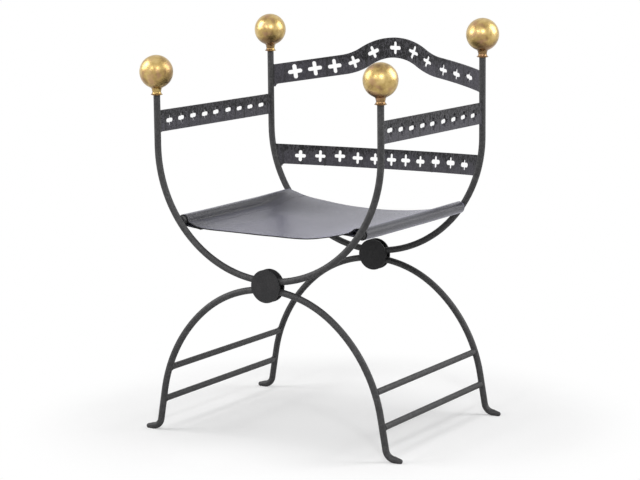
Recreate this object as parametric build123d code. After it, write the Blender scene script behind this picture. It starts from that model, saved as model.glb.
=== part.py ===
"""Fixed wrought-iron chair in the savonarola form, with a leather sling seat and brass ball finials.

Two end frames, one at the front and one at the rear, each hold a U-shaped upper bow and an arched
lower bow that meet at a plated hub. Pierced straps, seat rails and stretchers tie the frames together.

Millimetres. +X is to the right as seen from the front, +Y is to the rear and +Z is up. The origin is
on the floor, at the bottom centre of the chair's bounding box.
"""

import os
from math import asin, cos, radians, sin, sqrt, tan

from build123d import *

# ---- Bar and strap stock -------------------------------------------------------------------------
ROD_RADIUS = 8.0  # posts, upper bows and lower arches
STRETCHER_RADIUS = 7.5
SEAT_RAIL_RADIUS = 11.0
STRAP_WIDTH = 50.8
STRAP_THICKNESS = 6.35
WELD_RADIUS = 6.0  # filled corner under each strap where it meets a bar
COPE_DEPTH = 3.0  # how far a bar's end is notched over the bar that it is welded to

# ---- End frames ----------------------------------------------------------------------------------
HALF_WIDTH = 302.5  # middle plane of the chair to a post's axis, and the upper bow's radius
HALF_DEPTH = 253.6  # half the distance between the planes of the two end frames
HUB_HEIGHT = 380.0
HUB_ROD_GAP = 4.5  # free space between the upper bow and the lower arch inside the hub
HUB_DISC_RADIUS = 39.0
HUB_DISC_THICKNESS = 3.6
HUB_DISC_EDGE = 0.8
ARCH_CROWN_RADIUS = 280.0
ARCH_CROWN_ANGLE = 38.0  # from the apex to where the flatter leg curve starts, in degrees
ARCH_LEG_RADIUS = 340.0
LEG_LEAN = 9.8  # the straight foot of each leg off the vertical, in degrees
TOE_BEND_RADIUS = 24.0
TOE_LENGTH = 13.5  # the tapered end beyond the bend
TOE_TIP_RADIUS = 6.0
TOE_FLAT_DEPTH = 0.8  # ground off the underside of each toe

# ---- Finials -------------------------------------------------------------------------------------
FRONT_BALL_HEIGHT = 867.8
REAR_BALL_HEIGHT = 940.1
BALL_RADIUS = 39.9
BALL_WALL = 2.0
NECK_RADIUS = 11.2
NECK_COVE = 7.0  # radius of the hollow between the ball and its neck
NECK_LAND = 0.8  # straight part of the neck below the cove
BOSS_RADIUS = 9.0  # threaded boss inside the ball
COLLAR_HEIGHT = 12.0
COLLAR_LIP_RADIUS = 14.0
COLLAR_LIP_HEIGHT = 3.2
COLLAR_LIP_EDGE = 1.2
COLLAR_WAIST_RADIUS = 10.5  # narrowest place, between the lip and the ball's neck
STUD_RADIUS = 4.0
STUD_CLEARANCE = 0.05  # on the radius, in the post, the collar and the ball
STUD_DEPTH_IN_POST = 20.0
STUD_DEPTH_IN_BALL = 18.0
HOLE_OVERRUN = 1.0  # blind holes are this much deeper than the stud

# ---- Arms and back rails -------------------------------------------------------------------------
ARM_HEIGHT = 750.2
LOWER_RAIL_HEIGHT = 621.0
LOWER_RAIL_BOW = 90.0  # how far the rail bends to the rear between its ends
LOWER_RAIL_LEAN = 6.4  # the plane of that bend slopes down to the rear, in degrees
CREST_END_HEIGHT = 824.0
CREST_BOW = 110.0
CREST_BEND_RADIUS = 146.0
CREST_HUMP_ANGLE = 33.0  # steepest slope of the hump, in degrees
CREST_END_ANGLE = 8.5  # slope of the straight ends, in degrees

# ---- Pierced crosses -----------------------------------------------------------------------------
# The crosses were set out and cut by hand, so no two are quite alike. Each is (share, rise, length, height,
# slot): its distance from the middle of the strap, as a share of half the row; how far it sits above the
# strap's middle line; its size along and across the strap; and the width of its slots. A row's margin is
# from the axis of the post to where the share is 1, along the strap.
ARM_CROSS_MARGIN = 49.6
LEFT_ARM_CROSSES = (
    (-1.0, -1.0, 34.0, 30.0, 10.0),
    (-0.76, 0.5, 33.0, 30.0, 10.0),
    (-0.51, 1.5, 33.0, 30.0, 10.0),
    (-0.26, 0.5, 33.0, 30.0, 10.0),
    (-0.02, 1.0, 33.0, 30.0, 10.0),
    (0.25, 1.5, 33.0, 30.0, 10.0),
    (0.5, 0.5, 32.0, 30.0, 9.5),
    (0.745, 0.5, 33.0, 30.0, 9.5),
    (1.0, 0.5, 33.0, 30.0, 9.5),
)
RIGHT_ARM_CROSSES = (
    (-1.04, 2.5, 35.0, 30.0, 10.0),
    (-0.79, 0.0, 32.0, 30.0, 10.0),
    (-0.54, -2.0, 34.0, 30.0, 10.0),
    (-0.28, -1.5, 33.0, 30.0, 10.0),
    (-0.04, -2.0, 33.0, 30.0, 10.0),
    (0.23, -1.5, 32.0, 30.0, 10.0),
    (0.485, -1.5, 33.0, 30.0, 10.0),
    (0.73, -1.0, 33.0, 30.0, 10.0),
    (0.985, -2.0, 32.0, 30.0, 10.0),
)
LOWER_CROSS_MARGIN = 65.4
LOWER_CROSSES = (
    (-0.995, -3.0, 28.5, 28.5, 9.0),
    (-0.785, -1.5, 28.0, 30.0, 8.0),
    (-0.575, 1.0, 29.5, 30.0, 8.5),
    (-0.38, -1.5, 30.0, 30.0, 8.5),
    (-0.185, -1.5, 30.0, 30.0, 9.0),
    (0.005, -1.0, 30.0, 32.0, 9.0),
    (0.175, -0.5, 31.0, 32.0, 9.5),
    (0.36, -1.0, 31.0, 30.0, 10.0),
    (0.565, 1.0, 33.0, 31.0, 11.0),
    (0.78, 1.0, 36.0, 31.0, 11.5),
    (1.0, -1.5, 36.0, 30.0, 11.5),
)
CREST_CROSS_MARGIN = 65.5
CREST_CROSSES = (
    (-1.01, 0.0, 37.0, 37.0, 10.5),
    (-0.815, 0.5, 37.0, 37.0, 10.0),
    (-0.62, -0.5, 36.5, 36.5, 10.0),
    (-0.425, 0.5, 33.0, 32.0, 9.0),
    (-0.225, 0.0, 34.0, 32.0, 10.0),
    (0.01, -0.5, 34.0, 33.0, 10.0),
    (0.215, 1.0, 33.0, 35.5, 9.5),
    (0.38, 2.5, 31.0, 31.0, 9.5),
    (0.59, -3.0, 32.0, 31.0, 9.5),
    (0.78, -3.5, 34.0, 30.0, 11.0),
    (0.99, 0.0, 36.0, 32.0, 11.0),
)

# ---- Stretchers ----------------------------------------------------------------------------------
LOWER_STRETCHER_HEIGHT = 76.9
UPPER_STRETCHER_HEIGHT = 156.5

# ---- Seat ----------------------------------------------------------------------------------------
SEAT_RAIL_HEIGHT = 516.0
LEATHER_THICKNESS = 2.2
LEATHER_CLEARANCE = 0.3
SEAT_SAG = 13.0  # middle of the seat below where it leaves the rails
SEAT_LEAVE_ANGLE = 48.0  # round a rail's sleeve, from level to where the seat leaves it, in degrees
SEAT_FRONT_GAP = 8.5  # bare rail between the leather and the front bow
SEAT_REAR_GAP = 8.0

# ---- Derived positions ---------------------------------------------------------------------------
CENTRE_SHIFT = (CREST_BOW + STRAP_THICKNESS / 2 - BALL_RADIUS) / 2
Y_FRONT = -HALF_DEPTH - CENTRE_SHIFT
Y_REAR = HALF_DEPTH - CENTRE_SHIFT
BOW_BOTTOM = HUB_HEIGHT + HUB_ROD_GAP / 2 + ROD_RADIUS
BOW_CENTRE = BOW_BOTTOM + HALF_WIDTH
ARCH_APEX = HUB_HEIGHT - HUB_ROD_GAP / 2 - ROD_RADIUS
TOE_AXIS = ROD_RADIUS - TOE_FLAT_DEPTH
TOE_TIP_AXIS = TOE_TIP_RADIUS - TOE_FLAT_DEPTH
COVE_DROP = sqrt((BALL_RADIUS + NECK_COVE) ** 2 - (NECK_RADIUS + NECK_COVE) ** 2)
NECK_DROP = COVE_DROP + NECK_LAND
POST_TOP_DROP = NECK_DROP + COLLAR_HEIGHT
STUD_HOLE_RADIUS = STUD_RADIUS + STUD_CLEARANCE
SIDES = {"left": -1, "right": 1}
FRAMES = {"front": (Y_FRONT, FRONT_BALL_HEIGHT), "rear": (Y_REAR, REAR_BALL_HEIGHT)}


def bow_x(height):
    """Distance of the upper bow's axis from the middle plane at a height."""
    if height >= BOW_CENTRE:
        return HALF_WIDTH
    return sqrt(HALF_WIDTH**2 - (BOW_CENTRE - height) ** 2)


def arch_points():
    """Joints of the right half of the lower arch's axis, with a middle point for each curved stretch."""
    crown = radians(ARCH_CROWN_ANGLE)
    lean = radians(90 - LEG_LEAN)

    def on_crown(angle):
        return ARCH_CROWN_RADIUS * sin(angle), ARCH_APEX - ARCH_CROWN_RADIUS * (1 - cos(angle))

    crown_x, crown_z = on_crown(crown)

    def on_leg(angle):
        return (
            crown_x + ARCH_LEG_RADIUS * (sin(angle) - sin(crown)),
            crown_z + ARCH_LEG_RADIUS * (cos(angle) - cos(crown)),
        )

    leg_x, leg_z = on_leg(lean)
    bend_z = TOE_AXIS + TOE_BEND_RADIUS * (1 - cos(lean))
    bend_x = leg_x + (leg_z - bend_z) / tan(lean)
    toe_x = bend_x + TOE_BEND_RADIUS * sin(lean)
    return {
        "crown_end": (crown_x, crown_z),
        "leg_middle": on_leg((crown + lean) / 2),
        "leg_end": (leg_x, leg_z),
        "bend_start": (bend_x, bend_z),
        "bend_middle": (
            toe_x - TOE_BEND_RADIUS * sin(lean / 2),
            TOE_AXIS + TOE_BEND_RADIUS * (1 - cos(lean / 2)),
        ),
        "toe": (toe_x, TOE_AXIS),
    }


def arch_x(height):
    """Distance of the lower arch's axis from the middle plane at a height on the leg."""
    points = arch_points()
    leg_x, leg_z = points["leg_end"]
    if height <= leg_z:
        return leg_x + (leg_z - height) * tan(radians(LEG_LEAN))
    crown_x, crown_z = points["crown_end"]
    crown_cos = cos(radians(ARCH_CROWN_ANGLE))
    if height <= crown_z:
        leg_cos = crown_cos - (crown_z - height) / ARCH_LEG_RADIUS
        return crown_x + ARCH_LEG_RADIUS * (sqrt(1 - leg_cos**2) - sin(radians(ARCH_CROWN_ANGLE)))
    return sqrt(ARCH_CROWN_RADIUS**2 - (ARCH_CROWN_RADIUS - ARCH_APEX + height) ** 2)


def swept_rod(edges, radius):
    """Round bar along a chain of tangent edges."""
    path = Wire(edges)
    return sweep(Plane(origin=path @ 0, z_dir=path % 0) * Circle(radius), path=path)


def rod_between(start, end, radius):
    """Straight round bar between two points."""
    return swept_rod([Line(start, end)], radius)


def upper_bow(y, ball_height):
    """U-shaped bow with its two posts, drilled at the top of each post for the finial's stud."""
    post_top = ball_height - POST_TOP_DROP
    left_top, left_turn = (-HALF_WIDTH, y, post_top), (-HALF_WIDTH, y, BOW_CENTRE)
    right_top, right_turn = (HALF_WIDTH, y, post_top), (HALF_WIDTH, y, BOW_CENTRE)
    edges = [
        Line(left_top, left_turn),
        ThreePointArc(left_turn, (0, y, BOW_BOTTOM), right_turn),
        Line(right_turn, right_top),
    ]
    bow = swept_rod(edges, ROD_RADIUS)
    depth = STUD_DEPTH_IN_POST + HOLE_OVERRUN
    for side in SIDES.values():
        bow -= Pos(side * HALF_WIDTH, y, post_top - depth / 2) * Cylinder(STUD_HOLE_RADIUS, depth)
    return bow


def toe(side, y):
    """Tapered, rounded end of a lower arch, from the end of its bend outwards."""
    toe_x, toe_z = arch_points()["toe"]
    outwards = (side, 0, 0)
    start = Plane(origin=(side * toe_x, y, toe_z), z_dir=outwards) * Circle(ROD_RADIUS)
    tip_centre = (side * (toe_x + TOE_LENGTH), y, TOE_TIP_AXIS)
    tip = Plane(origin=tip_centre, z_dir=outwards) * Circle(TOE_TIP_RADIUS)
    return loft([start, tip], ruled=True) + Pos(*tip_centre) * Sphere(TOE_TIP_RADIUS)


def lower_arch(y):
    """Arched lower bow with leaning legs and out-turned toes, ground flat where it stands."""
    points = arch_points()

    def at(name, side):
        x, z = points[name]
        return side * x, y, z

    edges = []
    for side in (-1, 1):
        half = [
            ThreePointArc(at("toe", side), at("bend_middle", side), at("bend_start", side)),
            Line(at("bend_start", side), at("leg_end", side)),
            ThreePointArc(at("leg_end", side), at("leg_middle", side), at("crown_end", side)),
        ]
        edges += half
    edges.append(ThreePointArc(at("crown_end", -1), (0, y, ARCH_APEX), at("crown_end", 1)))
    arch = swept_rod(edges, ROD_RADIUS)
    for side in SIDES.values():
        arch += toe(side, y)
    toe_x = points["toe"][0]
    reach = 4 * (toe_x + TOE_LENGTH)
    floor = Pos(0, y, -ROD_RADIUS) * Box(reach, 4 * ROD_RADIUS, 2 * ROD_RADIUS)
    return arch - floor


def hub_disc(y_inner, direction):
    """Round plate on one face of a hub, from its inner face in the direction given."""
    middle = y_inner + direction * HUB_DISC_THICKNESS / 2
    disc = Pos(0, middle, HUB_HEIGHT) * Rot(90, 0, 0) * Cylinder(HUB_DISC_RADIUS, HUB_DISC_THICKNESS)
    outer_rim = disc.edges().filter_by(GeomType.CIRCLE).sort_by(Axis.Y)[-1 if direction > 0 else 0]
    return fillet(outer_rim, HUB_DISC_EDGE)


def stretcher(side, height, arches):
    """Bar between the front and the rear leg of one side, coped to both."""
    x = side * arch_x(height)
    bar = rod_between((x, Y_FRONT, height), (x, Y_REAR, height), STRETCHER_RADIUS)
    for arch in arches:
        bar -= arch
    return bar


def seat_rail(side, bows):
    """Bar under one side of the seat, coped to the front and the rear upper bow."""
    x = side * bow_x(SEAT_RAIL_HEIGHT)
    inset = ROD_RADIUS - COPE_DEPTH
    start = (x, Y_FRONT + inset, SEAT_RAIL_HEIGHT)
    end = (x, Y_REAR - inset, SEAT_RAIL_HEIGHT)
    rail = rod_between(start, end, SEAT_RAIL_RADIUS)
    for bow in bows:
        rail -= bow
    return rail


def seat_sling():
    """Leather seat hung from a sleeve round each rail, shown as it hangs with nobody on it."""
    sleeve_inner = SEAT_RAIL_RADIUS + LEATHER_CLEARANCE
    sleeve_outer = sleeve_inner + LEATHER_THICKNESS
    sleeve_middle = (sleeve_inner + sleeve_outer) / 2
    leave = radians(SEAT_LEAVE_ANGLE)
    rail_x = bow_x(SEAT_RAIL_HEIGHT)
    half_span = rail_x - sleeve_middle * cos(leave)
    leave_height = SEAT_RAIL_HEIGHT - sleeve_middle * sin(leave)
    sag_radius = (half_span**2 + SEAT_SAG**2) / (2 * SEAT_SAG)
    arc_centre = leave_height - SEAT_SAG + sag_radius
    ring = Circle(sag_radius + LEATHER_THICKNESS / 2) - Circle(sag_radius - LEATHER_THICKNESS / 2)
    strip = Pos(0, arc_centre - sag_radius) * Rectangle(2 * half_span, 4 * SEAT_SAG)
    section = (Pos(0, arc_centre) * ring) & strip
    for side in SIDES.values():
        section += Pos(side * rail_x, SEAT_RAIL_HEIGHT) * Circle(sleeve_outer)
    for side in SIDES.values():
        section -= Pos(side * rail_x, SEAT_RAIL_HEIGHT) * Circle(sleeve_inner)
    front_edge = Y_FRONT + ROD_RADIUS + SEAT_FRONT_GAP
    rear_edge = Y_REAR - ROD_RADIUS - SEAT_REAR_GAP
    upright = Plane(origin=(0, front_edge, 0), x_dir=(1, 0, 0), z_dir=(0, -1, 0))
    return extrude(upright * section, -(rear_edge - front_edge))


def cross(length, height, slot):
    """Outline of a pierced cross with rounded ends, centred on the origin."""
    return SlotOverall(length, slot) + Rot(0, 0, 90) * SlotOverall(height, slot)


def along_strap(share, length, margin):
    """Distance of a cross from the middle of a strap of this length between its posts."""
    return share * (length / 2 - margin)


def cross_cutter(sizes, place):
    """Solid that cuts one cross through a strap, standing on the plane given."""
    return extrude(place * cross(*sizes), 2 * STRAP_THICKNESS, both=True)


def corner_weld(x, z, side):
    """Filled corner below a strap: x is the bar's face, z the strap's lower edge."""
    square = Pos(x - side * WELD_RADIUS / 2, z - WELD_RADIUS / 2) * Rectangle(WELD_RADIUS, WELD_RADIUS)
    hollow = Pos(x - side * WELD_RADIUS, z - WELD_RADIUS) * Circle(WELD_RADIUS)
    run_in = Pos(x + side * WELD_RADIUS / 2, z - WELD_RADIUS / 2) * Rectangle(WELD_RADIUS, WELD_RADIUS)
    return square - hollow + run_in


def arm_strap(side, bows):
    """Pierced strap between the front and the rear post of one side."""
    x = side * HALF_WIDTH
    upright = Plane(origin=(x, 0, 0), x_dir=(0, 1, 0), z_dir=(1, 0, 0))
    outline = Pos((Y_FRONT + Y_REAR) / 2, ARM_HEIGHT) * Rectangle(Y_REAR - Y_FRONT, STRAP_WIDTH)
    lower_edge = ARM_HEIGHT - STRAP_WIDTH / 2
    outline += corner_weld(Y_FRONT + ROD_RADIUS, lower_edge, -1)
    outline += corner_weld(Y_REAR - ROD_RADIUS, lower_edge, 1)
    strap = extrude(upright * outline, STRAP_THICKNESS / 2, both=True)
    middle = (Y_FRONT + Y_REAR) / 2
    for share, rise, *sizes in LEFT_ARM_CROSSES if side < 0 else RIGHT_ARM_CROSSES:
        along = along_strap(share, Y_REAR - Y_FRONT, ARM_CROSS_MARGIN)
        place = Plane(origin=(x, middle + along, ARM_HEIGHT + rise), x_dir=(0, 1, 0), z_dir=(1, 0, 0))
        strap -= cross_cutter(sizes, place)
    strap &= Pos(x, middle, ARM_HEIGHT) * Box(STRAP_WIDTH, Y_REAR - Y_FRONT, 2 * STRAP_WIDTH)
    for bow in bows:
        strap -= bow
    return strap


def plan_radius(half_span, bow):
    """Radius of a strap's bend in plan."""
    return (half_span**2 + bow**2) / (2 * bow)


def bowed_length(half_span, bow):
    """Length of a bowed strap between the axes of its posts."""
    radius = plan_radius(half_span, bow)
    return 2 * radius * asin(half_span / radius)


def bowed_strap(outline, half_span, bow):
    """Strap of an elevation outline, bent to the rear in plan through both ends at the rear frame."""
    radius = plan_radius(half_span, bow)
    centre_y = Y_REAR + bow - radius
    ring = Circle(radius + STRAP_THICKNESS / 2) - Circle(radius - STRAP_THICKNESS / 2)
    band = extrude(Plane(origin=(0, centre_y, 0)) * ring, REAR_BALL_HEIGHT)
    upright = Plane(origin=(0, Y_REAR - STRAP_WIDTH, 0), x_dir=(1, 0, 0), z_dir=(0, -1, 0))
    prism = extrude(upright * outline, -(bow + 2 * STRAP_WIDTH))
    return band & prism


def bowed_place(along, height, slope, half_span, bow):
    """Plane that faces out of a bowed strap, at a distance along its bend from the middle."""
    radius = plan_radius(half_span, bow)
    turn = along / radius
    origin = (radius * sin(turn), Y_REAR + bow - radius + radius * cos(turn), height)
    tangent = Vector(cos(turn), -sin(turn), 0) * cos(slope) + Vector(0, 0, 1) * sin(slope)
    return Plane(origin=origin, x_dir=tangent, z_dir=(sin(turn), cos(turn), 0))


def inside_bow():
    """Space behind the rear upper bow's axis and between its posts, which trims the straps' ends."""
    upper = Pos(0, (BOW_CENTRE + REAR_BALL_HEIGHT) / 2)
    outline = Pos(0, BOW_CENTRE) * Circle(HALF_WIDTH)
    outline += upper * Rectangle(2 * HALF_WIDTH, REAR_BALL_HEIGHT - BOW_CENTRE)
    upright = Plane(origin=(0, Y_REAR, 0), x_dir=(1, 0, 0), z_dir=(0, -1, 0))
    return extrude(upright * outline, -2 * (CREST_BOW + LOWER_RAIL_BOW))


def lower_back_rail(rear_bow):
    """Pierced strap across the small of the back, bent to the rear and leaning back."""
    half_span = bow_x(LOWER_RAIL_HEIGHT)
    lower_edge = LOWER_RAIL_HEIGHT - STRAP_WIDTH / 2
    outline = Pos(0, LOWER_RAIL_HEIGHT) * Rectangle(2 * HALF_WIDTH, STRAP_WIDTH)
    bar_face = bow_x(lower_edge) - ROD_RADIUS * HALF_WIDTH / bow_x(lower_edge)
    for side in SIDES.values():
        outline += corner_weld(side * bar_face, lower_edge, side)
    rail = bowed_strap(outline, half_span, LOWER_RAIL_BOW)
    length = bowed_length(half_span, LOWER_RAIL_BOW)
    for share, rise, *sizes in LOWER_CROSSES:
        along = along_strap(share, length, LOWER_CROSS_MARGIN)
        place = bowed_place(along, LOWER_RAIL_HEIGHT + rise, 0, half_span, LOWER_RAIL_BOW)
        rail -= cross_cutter(sizes, place)
    rail = rail.rotate(Axis((0, Y_REAR, LOWER_RAIL_HEIGHT), (1, 0, 0)), -LOWER_RAIL_LEAN)
    return (rail & inside_bow()) - rear_bow


def crest_centreline():
    """Crown and bend centres of the crest's elevation, and the distance of its bends' outer ends."""
    hump, end = radians(CREST_HUMP_ANGLE), radians(CREST_END_ANGLE)
    bend_end = CREST_BEND_RADIUS * (2 * sin(hump) - sin(end))
    drop = CREST_BEND_RADIUS * (1 + cos(end) - 2 * cos(hump)) + (HALF_WIDTH - bend_end) * tan(end)
    crown_centre = (0, CREST_END_HEIGHT + drop - CREST_BEND_RADIUS)
    bend_centre = (
        2 * CREST_BEND_RADIUS * sin(hump),
        crown_centre[1] + 2 * CREST_BEND_RADIUS * cos(hump),
    )
    return crown_centre, bend_centre, bend_end


def crest_height(x):
    """Height and slope of the crest's centreline at a distance from the middle."""
    crown_centre, bend_centre, bend_end = crest_centreline()
    reach = abs(x)
    facing = 1 if x < 0 else -1
    if reach <= CREST_BEND_RADIUS * sin(radians(CREST_HUMP_ANGLE)):
        height = crown_centre[1] + sqrt(CREST_BEND_RADIUS**2 - reach**2)
        return height, facing * asin(reach / CREST_BEND_RADIUS)
    if reach <= bend_end:
        back = bend_centre[0] - reach
        height = bend_centre[1] - sqrt(CREST_BEND_RADIUS**2 - back**2)
        return height, facing * asin(back / CREST_BEND_RADIUS)
    end = radians(CREST_END_ANGLE)
    return CREST_END_HEIGHT + (HALF_WIDTH - reach) * tan(end), facing * end


def crest_edge(offset):
    """Chain of edges, left to right, at an offset above the crest's centreline."""
    crown_centre, bend_centre, _ = crest_centreline()
    hump, end = radians(CREST_HUMP_ANGLE), radians(CREST_END_ANGLE)

    def on_crown(side, angle):
        reach = CREST_BEND_RADIUS + offset
        return side * reach * sin(angle), crown_centre[1] + reach * cos(angle)

    def on_bend(side, angle):
        reach = CREST_BEND_RADIUS - offset
        return side * (bend_centre[0] - reach * sin(angle)), bend_centre[1] - reach * cos(angle)

    def at_post(side):
        x, z = on_bend(1, end)
        return side * HALF_WIDTH, z - (HALF_WIDTH - x) * tan(end)

    middle = (hump + end) / 2
    return [
        Line(at_post(-1), on_bend(-1, end)),
        ThreePointArc(on_bend(-1, end), on_bend(-1, middle), on_bend(-1, hump)),
        ThreePointArc(on_crown(-1, hump), on_crown(0, 0), on_crown(1, hump)),
        ThreePointArc(on_bend(1, hump), on_bend(1, middle), on_bend(1, end)),
        Line(on_bend(1, end), at_post(1)),
    ]


def crest_rail(rear_bow):
    """Humped, pierced strap across the shoulders, bent to the rear."""
    top = crest_edge(STRAP_WIDTH / 2)
    bottom = crest_edge(-STRAP_WIDTH / 2)
    ends = [Line(top[0] @ 0, bottom[0] @ 0), Line(top[-1] @ 1, bottom[-1] @ 1)]
    outline = make_face(top + bottom + ends)
    bar_face = HALF_WIDTH - ROD_RADIUS
    weld_height = (bottom[0] @ 0).Y + ROD_RADIUS * tan(radians(CREST_END_ANGLE))
    for side in SIDES.values():
        outline += corner_weld(side * bar_face, weld_height, side)
    rail = bowed_strap(outline, HALF_WIDTH, CREST_BOW)
    radius = plan_radius(HALF_WIDTH, CREST_BOW)
    length = bowed_length(HALF_WIDTH, CREST_BOW)
    for share, rise, *sizes in CREST_CROSSES:
        along = along_strap(share, length, CREST_CROSS_MARGIN)
        height, slope = crest_height(radius * sin(along / radius))
        place = bowed_place(along, height + rise, slope, HALF_WIDTH, CREST_BOW)
        rail -= cross_cutter(sizes, place)
    return (rail & inside_bow()) - rear_bow


def finial_ball(x, y, centre_height):
    """Hollow brass ball with a coved neck and a threaded boss that the stud enters."""
    touch = BALL_RADIUS / (BALL_RADIUS + NECK_COVE)
    cove_x = NECK_RADIUS + NECK_COVE
    on_ball = (cove_x * touch, -COVE_DROP * touch)
    on_cove = Vector(-cove_x, COVE_DROP - NECK_COVE / 2).normalized() * NECK_COVE
    profile = [
        RadiusArc((0, BALL_RADIUS), (BALL_RADIUS, 0), BALL_RADIUS),
        RadiusArc((BALL_RADIUS, 0), on_ball, BALL_RADIUS),
        ThreePointArc(on_ball, (cove_x + on_cove.X, -COVE_DROP + on_cove.Y), (NECK_RADIUS, -COVE_DROP)),
        Line((NECK_RADIUS, -COVE_DROP), (NECK_RADIUS, -NECK_DROP)),
        Line((NECK_RADIUS, -NECK_DROP), (0, -NECK_DROP)),
        Line((0, -NECK_DROP), (0, BALL_RADIUS)),
    ]
    ball = revolve(Plane.XZ * make_face(profile), Axis.Z)
    boss_length = STUD_DEPTH_IN_BALL + HOLE_OVERRUN
    boss_middle = Pos(0, 0, -NECK_DROP + boss_length / 2)
    ball -= Sphere(BALL_RADIUS - BALL_WALL) - boss_middle * Cylinder(BOSS_RADIUS, boss_length)
    ball -= boss_middle * Cylinder(STUD_HOLE_RADIUS, boss_length)
    return Pos(x, y, centre_height) * ball


def finial_collar(x, y, centre_height):
    """Turned brass collar between a post and its ball, with a flared lip."""
    foot = centre_height - POST_TOP_DROP
    lip = COLLAR_LIP_HEIGHT
    profile = [
        Line((STUD_HOLE_RADIUS, 0), (ROD_RADIUS, 0)),
        Line((ROD_RADIUS, 0), (COLLAR_LIP_RADIUS, lip - COLLAR_LIP_EDGE)),
        Line((COLLAR_LIP_RADIUS, lip - COLLAR_LIP_EDGE), (COLLAR_LIP_RADIUS, lip)),
        ThreePointArc(
            (COLLAR_LIP_RADIUS, lip),
            (COLLAR_WAIST_RADIUS, (lip + COLLAR_HEIGHT) / 2),
            (NECK_RADIUS, COLLAR_HEIGHT),
        ),
        Line((NECK_RADIUS, COLLAR_HEIGHT), (STUD_HOLE_RADIUS, COLLAR_HEIGHT)),
        Line((STUD_HOLE_RADIUS, COLLAR_HEIGHT), (STUD_HOLE_RADIUS, 0)),
    ]
    section = Plane.XZ * make_face(profile)
    return Pos(x, y, foot) * revolve(section, Axis.Z)


def finial_stud(x, y, centre_height):
    """Steel stud that carries a finial: in the post below, through the collar, into the ball above."""
    low = centre_height - POST_TOP_DROP - STUD_DEPTH_IN_POST
    high = centre_height - NECK_DROP + STUD_DEPTH_IN_BALL
    return Pos(x, y, (low + high) / 2) * Cylinder(STUD_RADIUS, high - low)


def build():
    """All nodes of the chair, by name."""
    nodes = {}
    bows = {}
    arches = {}
    for frame, (y, ball_height) in FRAMES.items():
        bows[frame] = upper_bow(y, ball_height)
        arches[frame] = lower_arch(y)
        nodes[f"{frame}_upper_bow"] = bows[frame]
        nodes[f"{frame}_lower_arch"] = arches[frame]
        outward = -1 if frame == "front" else 1
        nodes[f"{frame}_hub_disc_outer"] = hub_disc(y + outward * ROD_RADIUS, outward)
        nodes[f"{frame}_hub_disc_inner"] = hub_disc(y - outward * ROD_RADIUS, -outward)
    studs = []
    for frame, (y, ball_height) in FRAMES.items():
        for name, side in SIDES.items():
            x = side * HALF_WIDTH
            nodes[f"{frame}_{name}_finial_ball"] = finial_ball(x, y, ball_height)
            nodes[f"{frame}_{name}_finial_collar"] = finial_collar(x, y, ball_height)
            studs.append(finial_stud(x, y, ball_height))
    nodes["finial_studs"] = Compound(children=studs)
    for name, side in SIDES.items():
        for level, height in (("lower", LOWER_STRETCHER_HEIGHT), ("upper", UPPER_STRETCHER_HEIGHT)):
            nodes[f"{name}_{level}_stretcher"] = stretcher(side, height, arches.values())
        nodes[f"{name}_seat_rail"] = seat_rail(side, bows.values())
        nodes[f"{name}_arm_strap"] = arm_strap(side, bows.values())
    nodes["lower_back_rail"] = lower_back_rail(bows["rear"])
    nodes["crest_rail"] = crest_rail(bows["rear"])
    nodes["seat_sling"] = seat_sling()
    return nodes


def main():
    """Write one STEP file for each node."""
    os.makedirs("parts", exist_ok=True)
    for name, shape in build().items():
        export_step(shape, f"parts/{name}.step")


main()
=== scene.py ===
"""A savonarola armchair: bent iron bar, pierced straps, brass balls and a slung leather seat."""

import logging
import math
from collections.abc import Iterable, Mapping, Sequence
from dataclasses import dataclass, field, fields
from enum import Enum
from typing import Any, Self

import bmesh
import bpy
from mathutils import Matrix, Vector, noise


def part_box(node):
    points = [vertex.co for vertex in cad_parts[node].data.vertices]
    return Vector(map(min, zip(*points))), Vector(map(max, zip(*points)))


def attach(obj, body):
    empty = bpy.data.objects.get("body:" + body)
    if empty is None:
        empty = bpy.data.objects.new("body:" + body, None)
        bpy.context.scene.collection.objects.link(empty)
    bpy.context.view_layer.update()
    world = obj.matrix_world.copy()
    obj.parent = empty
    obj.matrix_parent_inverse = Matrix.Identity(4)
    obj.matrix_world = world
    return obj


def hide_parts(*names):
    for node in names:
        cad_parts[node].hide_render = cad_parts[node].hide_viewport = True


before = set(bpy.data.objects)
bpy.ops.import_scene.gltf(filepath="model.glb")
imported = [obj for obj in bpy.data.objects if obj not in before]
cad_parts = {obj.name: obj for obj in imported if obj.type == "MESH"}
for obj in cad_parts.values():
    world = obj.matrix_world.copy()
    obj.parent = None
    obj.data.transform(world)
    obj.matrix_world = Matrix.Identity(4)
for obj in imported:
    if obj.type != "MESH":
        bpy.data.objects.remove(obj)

LOG = logging.getLogger("savonarola_chair")
CHAIR_BODY = "frame"

Colour = tuple[float, float, float]
Point = tuple[float, float, float]
Socket = bpy.types.NodeSocket


# ---------------------------------------------------------------- node trees


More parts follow.
